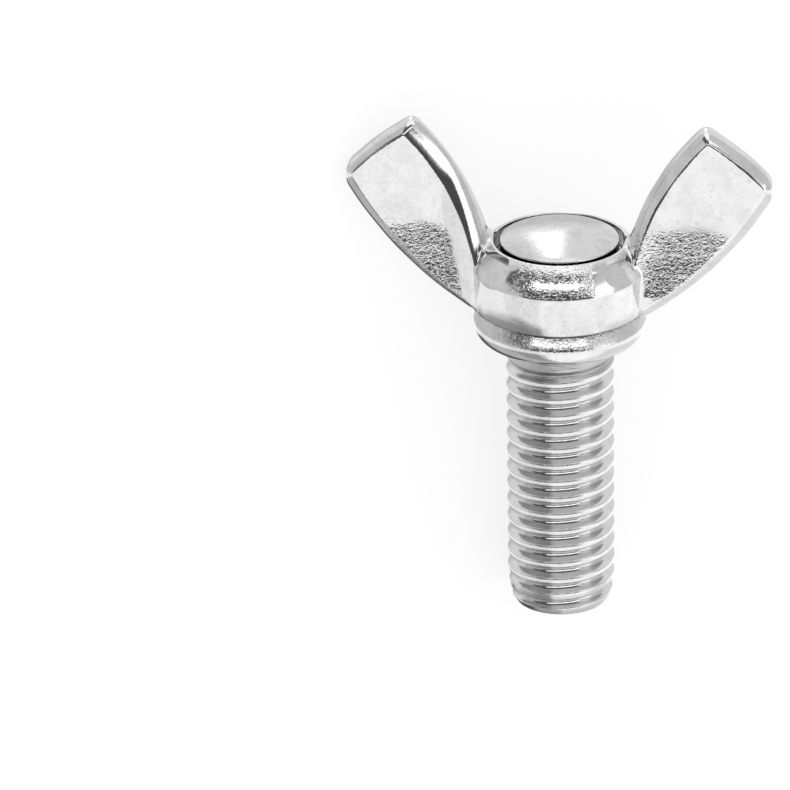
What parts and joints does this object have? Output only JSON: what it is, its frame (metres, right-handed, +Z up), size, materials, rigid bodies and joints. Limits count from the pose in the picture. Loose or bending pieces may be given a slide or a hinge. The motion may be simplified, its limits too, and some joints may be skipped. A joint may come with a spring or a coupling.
{
  "type": "wing screw",
  "caption": "Steel wing screw: a metric threaded stud with a rounded collar, riveted into a forged head with two spread, dished wings for turning it by hand.",
  "frame": {"origin": "on the surface the screw lies on, under the middle of its bounding box", "axes": "+Z up from that surface, +Y along the screw towards its head, seen from above, and +X across it. The screw's axis rises by 6.2 degrees towards the head, and the screw is rolled by about 25 degrees so that one wing rests on the surface."},
  "size_m": [0.0216, 0.0294, 0.0114],
  "materials": {
    "stud_steel": "polished stainless steel, turned, with a rolled thread",
    "head_steel": "polished stainless steel over a finely pebbled forging"
  },
  "bodies": {
    "root": {"threaded_stud": "stud_steel", "wing_head": "head_steel"}
  },
  "joints": []
}
